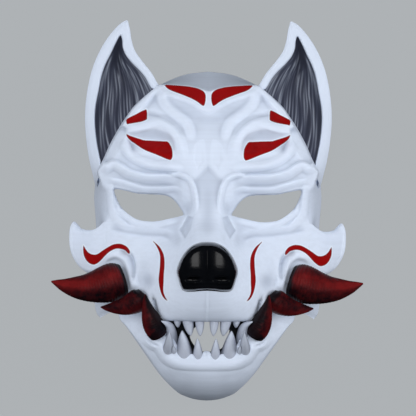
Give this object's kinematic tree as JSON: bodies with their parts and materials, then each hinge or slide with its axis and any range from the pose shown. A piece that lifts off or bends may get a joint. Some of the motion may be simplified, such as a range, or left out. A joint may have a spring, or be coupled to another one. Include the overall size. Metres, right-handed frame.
{
  "type": "kitsune mask",
  "caption": "Hollow fox face mask with open eye holes, bared teeth, pointed ears, a rounded nose pad and curved tusks at the cheeks; it covers the face or hangs on a wall.",
  "frame": {"origin": "centre of the mask's box at its back rim, on the surface it lies on", "axes": "+X to the side that is on the right when the mask is looked at, +Y up the face toward the ears, +Z out of the face"},
  "size_m": [0.2268, 0.2844, 0.129],
  "materials": {
    "white_shell": "white satin paint with red markings",
    "ear_white": "white satin paint, dark streaked inside",
    "nose_black": "gloss black paint",
    "lining_black": "matte black paint",
    "tusk_red": "dark red brushed over black"
  },
  "bodies": {
    "root": {"face_shell": "white_shell", "lower_jaw": "white_shell", "nose": "nose_black", "mouth_lining": "lining_black", "ear_left": "ear_white", "ear_right": "ear_white", "tusk_upper_left": "tusk_red", "tusk_upper_right": "tusk_red", "tusk_middle_left": "tusk_red", "tusk_middle_right": "tusk_red", "tusk_lower_left": "tusk_red", "tusk_lower_right": "tusk_red"}
  },
  "joints": []
}
